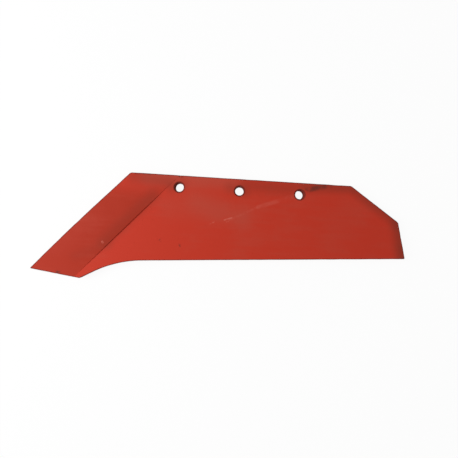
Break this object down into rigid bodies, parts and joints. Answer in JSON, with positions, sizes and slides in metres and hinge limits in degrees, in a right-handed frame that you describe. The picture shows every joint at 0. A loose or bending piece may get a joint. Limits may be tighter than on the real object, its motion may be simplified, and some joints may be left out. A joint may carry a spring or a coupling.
{
  "type": "plough share",
  "caption": "Left-hand plough share of red painted steel: flat blade, forged point strip along the landside, ground cutting edge and a row of bolt holes.",
  "frame": {"origin": "middle bolt hole of the row, at the flat back of the share", "axes": "+X along the row of bolt holes towards the wing, +Y towards the top edge that meets the mouldboard, +Z out of the soil face"},
  "size_m": [0.5574, 0.1624, 0.0151],
  "materials": {
    "red_paint": "semi-gloss red paint over rolled and forged steel, scuffed and scratched in places"
  },
  "bodies": {
    "root": {"plough_share": "red_paint"}
  },
  "joints": []
}
